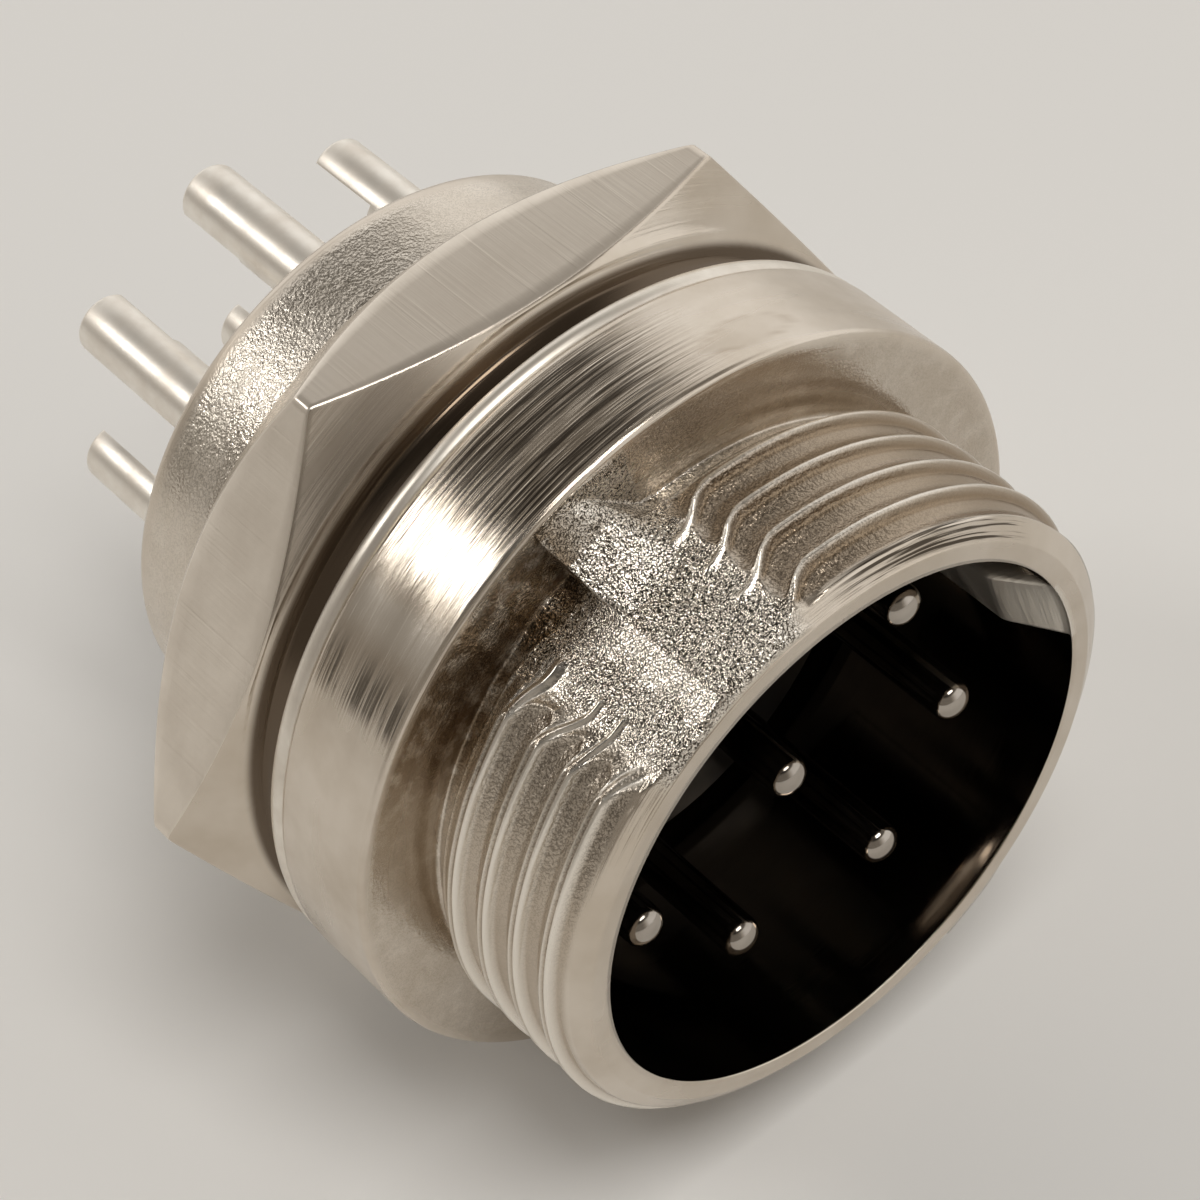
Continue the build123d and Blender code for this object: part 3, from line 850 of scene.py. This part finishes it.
# painted shade: dark turning marks on the lip and the collar, in the turn bands where they show dark
lip_lines = lip_band * between(turn, 44, 50, 84, 94)
collar_lines = between(turn, 84, 94, 116, 121)
lower_lines = between(turn, 138, 143, 146, 148)
shaded_lines = 0.95 * lip_lines + np.where(on_collar, 0.8 * collar_lines + 0.7 * lower_lines, 0)
print("shading in the lines:", round(100 * float(shaded_lines[:, on_collar].mean())), "% of the collar")

# %% Shell: masks of the key and the strip by the parting ridge, both with a painted highlight, and the mesh
on_key = in_cavity & (key_off < 9.6)
matt = np.where(on_key, 2.0, matt)
# painted highlight: the key is painted light
wear_and_highlight = np.where(on_key, 1.0, wear_and_highlight)
# painted highlight: a lighter strip just below the parting ridge, with less cast grain
strip_edge = 118.0 + 1.5 * np.sin(5 * station) + 1.0 * np.sin(13 * station + 1)
highlight_strip = between(turn, 114.2, 115.0, strip_edge, strip_edge + 4) * on_skin
highlight_strip = highlight_strip * (1 - smooth_step(station, -5.0, -4.3))
cast = cast * (1 - wear_and_highlight) * (1 - 0.3 * highlight_strip)
wear_and_highlight = np.maximum(wear_and_highlight, 0.4 * highlight_strip)
turned_amount = np.where(on_key, 0.7, turned_amount)
front_masks = {
    "cast": cast,
    "turned": turned_amount,
    "matt": matt,
    "blotches_and_shade": blotches_and_shade,
    "stain_and_shade": stain_and_shade,
    "wear_and_highlight": wear_and_highlight,
    "shaded_lines": shaded_lines,
}
hidden_kinds = np.isin(front_kinds, ["cavity", "inside", "back"])
inside_front = hidden_kinds & (front_stations > FRONT_RIM + 0.05) & ~on_key
front_piece = ring_piece(
    "plated_shell_front",
    front_turns,
    front_radii,
    front_stations,
    [shell_finish, bore_finish],
    inside_front,
    front_masks,
)
print("front piece triangles:", 2 * len(front_piece.data.polygons))

# %% [markdown]
# ### The rear piece
# The neck's thread is the same profile with flats across it, and the skirt behind it is as cast.

# %% Shell: rear piece
turn = rear_turns[:, None]
off = np.abs(from_ridge(turn))
station = rear_stations
lean = np.radians(np.minimum(off, 25.0))
flat_radius = (FLAT_LEVEL - 0.035 * FLAT_LEVEL * np.tan(lean)) / np.cos(lean)
groove = groove_depth(np.abs(past_crest(station, turn, NECK_CREST))) * smooth_step(off, 9.0, 18.0)
neck_ends = smooth_max(1 - smooth_step(station, 0.0, 0.4), smooth_step(station, 4.55, 4.95), 0.1)
neck_skin = smooth_min(CREST - groove, CREST - 0.55 * neck_ends, SOFT)
neck_skin = smooth_min(neck_skin, np.broadcast_to(flat_radius, station.shape), SOFT)
on_neck = rear_kinds == "neck"
rear_radii = np.where(on_neck, neck_skin, rear_radii)
flatness = 1 - smooth_step(off, 16.0, 21.0)
nearness = 1 - smooth_step(off, 18.0, 62.0)
cast = np.where(on_neck, np.maximum(flatness, 0.1 + 0.4 * nearness), 0.0)
on_skirt = rear_kinds == "skirt"
cast = np.where(on_skirt, 0.15 + 0.4 * (1 - smooth_step(off, 18, 40)), cast)
rear_masks = {
    "cast": cast,
    "turned": np.where(rear_kinds == "edge", 0.4, 0.0),
    "matt": np.full(cast.shape, 0.8),
    "wear_and_highlight": np.where(on_skirt, 0.1, 0.0),
}
rear_piece = ring_piece(
    "plated_shell_rear",
    rear_turns,
    rear_radii,
    rear_stations,
    [shell_finish, bore_finish],
    np.isin(rear_kinds, ["inside", "back"]),
    rear_masks,
)
for piece in (front_piece, rear_piece):
    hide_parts("shell")
    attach(piece, "connector")
print("rear piece triangles:", 2 * len(rear_piece.data.polygons))

# %% [markdown]
# ## The nut
# Its front is one turned cone that slopes from a small boss, hidden by the washer, back to the corners,
# which leaves a groove behind the washer; that groove is also painted dark, as painted shade. A hexagon
# meets such a cone along six curved edges. A boolean cut would find them, but leaves long thin faces.
# Here each section ends its cone exactly on the hexagon, so the curve is a row of the grid, with a small
# rounding on both sides that catches the light.

# %% Nut: sections
NUT_FRONT, NUT_REAR = 0.5, 4.4
HALF_FLATS, ROUND_END, REAR_CIRCLE, BOSS, BORE_MOUTH = 9.5, 9.4, 9.35, 8.95, 8.62
CONE_SLOPE = np.tan(radians(30))
corner_radius = HALF_FLATS * 2 / np.sqrt(3.0)
corner_zones = [(c - 1.2, c + 1.2, 0.15) for c in range(60, 360, 60)]
corner_zones += [(0, 1.2, 0.15), (358.8, 359.9, 0.15)]
nut_turns = columns(2.0, *corner_zones)
to_corner = np.abs((nut_turns + 30) % 60 - 30)
hexagon = HALF_FLATS / np.cos(np.radians(30 - to_corner))
hexagon = smooth_min(hexagon, np.full(hexagon.shape, corner_radius - 0.03), 0.06)[:, None]
full = np.ones((len(nut_turns), 1))
shoulder = NUT_FRONT + 1.85 - (corner_radius - ROUND_END) * CONE_SLOPE
inner_end = shoulder - (ROUND_END - BOSS) * CONE_SLOPE
cone_r = BOSS + 0.06 + (hexagon - 0.12 - BOSS) * np.linspace(0, 1, 34)[None, :]
ring_mark = 0.025 * ridge(cone_r - 9.5, 0.06)
cone_y = shoulder + (cone_r - ROUND_END) * CONE_SLOPE - ring_mark
front_edge = shoulder + (hexagon - ROUND_END) * CONE_SLOPE
rear_slope = 1.55 / (corner_radius - REAR_CIRCLE)
rear_edge = NUT_REAR - (hexagon - REAR_CIRCLE) * rear_slope
flank_y = front_edge + SOFT + (rear_edge - front_edge - 2 * SOFT) * np.linspace(0, 1, 8)[None, :]
flank_r = np.broadcast_to(hexagon, flank_y.shape)
rear_r = REAR_CIRCLE + (hexagon - 0.06 - REAR_CIRCLE) * np.linspace(1, 0, 12)[None, :]
rear_y = NUT_REAR - (rear_r - REAR_CIRCLE) * rear_slope
boss_edge = arc((BOSS - 0.06, NUT_FRONT + 0.06), 0.06, -90, 0, 4)
bore_y = np.linspace(NUT_REAR - 0.02, NUT_FRONT + 0.02, 50)[None, :] * full
from_neck_crest = np.abs(past_crest(bore_y, nut_turns[:, None], NECK_CREST))
inner_thread = 8.03 - 0.5 * smooth_step(from_neck_crest, 0.06, 0.4)
bore_cone = 8.05 + 0.5 * (1 - np.minimum(bore_y - NUT_FRONT, NUT_REAR - bore_y) / 0.5)
bore_r = smooth_max(inner_thread, bore_cone, SOFT)
nut_runs = [
    (0, BORE_MOUTH * full, NUT_FRONT * full),
    (0, boss_edge[:, 0] * full, boss_edge[:, 1] * full),
    (0, BOSS * full, (inner_end - 0.06) * full),
    (0, cone_r, cone_y),
    (1, hexagon - 0.015, front_edge + 0.01),
    (1, flank_r, flank_y),
    (0, hexagon - 0.015, rear_edge - 0.01),
    (0, rear_r, rear_y),
    (0, 9.2 * full, NUT_REAR * full),
    (0, 8.9 * full, NUT_REAR * full),
    (0, BORE_MOUTH * full, NUT_REAR * full),
    (0, bore_r, bore_y),
]
nut_radii = np.concatenate([r for _, r, _ in nut_runs], axis=1)
nut_stations = np.concatenate([y for _, _, y in nut_runs], axis=1)
nut_pick = np.concatenate([np.full(r.shape[1], number) for number, r, _ in nut_runs])
# painted shade: the groove behind the washer, and most of the cone from turn 98 to 150
in_groove = 1 - smooth_step(nut_radii, 9.2, ROUND_END)
shaded_turns = between(nut_turns, 98, 112, 140, 150)
cone_shade = 0.45 * (1 - smooth_step(nut_radii, 10.1, 10.7)) * shaded_turns[:, None]
nut_painted_shade = np.maximum(in_groove, cone_shade) * (nut_stations < NUT_REAR / 2)
nut_piece = ring_piece(
    "hexagon_nut",
    nut_turns,
    nut_radii,
    nut_stations,
    [nut_face_finish, flank_finish],
    nut_pick,
    {"painted_shade": nut_painted_shade},
)
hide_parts("panel_nut")
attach(nut_piece, "nut")
print("nut triangles:", 2 * len(nut_piece.data.polygons))

# %% [markdown]
# ## The washer
# It is stamped from thin plated sheet, so its edges are rounded, and it shows as one bright bead.

# %% Washer
washer_turns = columns(1.5)
rounded_edge = arc((0, 0), 1.0, -90, 90, 17) * (0.17, 0.24) + (9.3, 0.25)
bead = np.concatenate([
    line((8.2, 0.01), (9.3, 0.01), 5),
    rounded_edge,
    line((9.28, 0.49), (8.2, 0.49), 5),
    arc((8.2, 0.39), 0.1, 90, 180, 4),
    arc((8.2, 0.11), 0.1, 180, 270, 4),
])
one = np.ones((len(washer_turns), 1))
washer_radii, washer_stations = one * bead[:, 0], one * bead[:, 1]
washer_piece = ring_piece("plain_washer", washer_turns, washer_radii, washer_stations, [washer_finish], 0)
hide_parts("panel_washer")
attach(washer_piece, "washer")
print("washer triangles:", 2 * len(washer_piece.data.polygons))

# %% [markdown]
# ## The contacts
# Each is turned from brass rod: a domed pin, a shoulder, and a cup that is drilled from the end and
# milled open on one side. The turned shape is a solid of revolution. The milling is a real cut with a
# block, and a small bevel then softens every sharp edge.

# %% Contacts
RING_RADIUS = 4.55
PIN, SHOULDER, CUP, CUP_BORE = 0.5, 0.95, 0.8, 0.55
CUP_END = 14.1
WINDOW_LEVEL = 0.1
CUTTER = (1.6 * MM, 2.4 * MM, 2.4 * MM)


def contact_places():
    """Centre, open side and tip of every contact, in mm and degrees, by number."""
    places = {8: (0.0, 0.0, KEY_TURN, FRONT_RIM + 1.65)}
    for number in range(1, 8):
        around_ring = KEY_TURN - (number - 0.5) * 360 / 7
        x, z = RING_RADIUS * np.cos(radians(around_ring)), RING_RADIUS * np.sin(radians(around_ring))
        tip = FRONT_RIM + 1.55 - (0.4 if number in (1, 2) else 0.0)
        places[number] = (x, z, around_ring + 180, tip)
    return places


def contact_mesh(name, x, z, tip):
    """Contact as a solid of revolution, before its cup is cut open."""
    dome = arc((0, 0), PIN, -90, 0, 12) * (1.0, 0.7) + (0.0, tip + 0.35)
    dome[0, 0] = 0.0
    outline = np.concatenate([
        dome,
        line((PIN, tip + 0.5), (PIN, 2.8), 6),
        line((PIN, 2.8), (0.93, 2.8), 2),
        line((SHOULDER, 2.82), (SHOULDER, 4.38), 2),
        line((0.93, 4.4), (CUP, 4.4), 2),
        line((CUP, 4.42), (CUP, CUP_END - 0.12), 12),
        arc((0.7, CUP_END - 0.1), 0.1, 0, 90, 5),
        arc((0.59, CUP_END - 0.04), -0.04, -90, 0, 3),
        line((CUP_BORE, CUP_END - 0.1), (CUP_BORE, CUP_END - 3.2), 6),
        line((0.5, CUP_END - 3.22), (0.0, CUP_END - 3.4), 2),
        [(0.0, CUP_END - 3.4)],
    ])
    profile = bmesh.new()
    rings = 40
    angles = np.linspace(0, 2 * pi, rings, endpoint=False)
    loops = []
    for r, y in outline:
        if r < 1e-6:
            loops.append([profile.verts.new((x * MM, y * MM, z * MM))])
            continue
        circle = [((x + r * np.cos(t)) * MM, y * MM, (z + r * np.sin(t)) * MM) for t in angles]
        loops.append([profile.verts.new(corner) for corner in circle])
    for first, second in zip(loops, loops[1:]):
        for k in range(rings):
            corners = [first[k % len(first)], first[(k + 1) % len(first)]]
            corners += [second[(k + 1) % len(second)], second[k % len(second)]]
            unique = list(dict.fromkeys(corners))
            if len(unique) > 2:
                profile.faces.new(unique)
    bmesh.ops.recalc_face_normals(profile, faces=profile.faces)
    mesh = bpy.data.meshes.new(name)
    profile.to_mesh(mesh)
    profile.free()
    mesh.shade_smooth()
    return mesh


def milled(piece, x, z, open_turn):
    """Cuts the window with a block, and rounds the new edges a little."""
    bpy.ops.mesh.primitive_cube_add(size=1.0)
    block = bpy.context.object
    block.scale = CUTTER
    block.rotation_euler = (0, -radians(open_turn), 0)
    reach = WINDOW_LEVEL + 0.8
    aside, up = reach * np.cos(radians(open_turn)), reach * np.sin(radians(open_turn))
    block.location = Vector((x + aside, CUP_END - 1.0, z + up)) * MM
    bpy.context.view_layer.update()
    cut_modifier = piece.modifiers.new("window", "BOOLEAN")
    cut_modifier.object = block
    cut_modifier.operation = "DIFFERENCE"
    cut_modifier.solver = "EXACT"
    bevel = piece.modifiers.new("soft_edges", "BEVEL")
    bevel.width = 0.03 * MM
    bevel.segments = 2
    bevel.limit_method = "ANGLE"
    bevel.angle_limit = radians(35)
    shaped = bpy.data.meshes.new_from_object(piece.evaluated_get(bpy.context.evaluated_depsgraph_get()))
    piece.modifiers.clear()
    old = piece.data
    piece.data = shaped
    shaped.name = piece.name
    bpy.data.meshes.remove(old)
    bpy.data.objects.remove(block)


for number, (x, z, open_turn, tip) in sorted(contact_places().items()):
    pin = bpy.data.objects.new(f"pin_and_cup_{number}", contact_mesh(f"pin_and_cup_{number}", x, z, tip))
    bpy.context.scene.collection.objects.link(pin)
    milled(pin, x, z, open_turn)
    pin.data.materials.clear()
    for finish in (tip_finish, cup_finish):
        pin.data.materials.append(finish.material)
    for polygon in pin.data.polygons:
        polygon.material_index = 0 if polygon.center.y < 0 else 1
    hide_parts(f"contact_{number}")
    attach(pin, "connector")
print("a contact has", len(pin.data.polygons), "faces")

# %% [markdown]
# ## The insulators and the retaining ring
# Their CAD shapes are right as they are, so they stay, and only get their finish.

# %% Finishes on CAD pieces
for node, finish in (
    ("front_insulator", moulding_finish),
    ("rear_insulator", moulding_finish),
    ("retaining_ring", wire_finish),
):
    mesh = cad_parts[node].data
    mesh.materials.clear()
    mesh.materials.append(finish.material)
    print(node, "now has", finish.material.name)
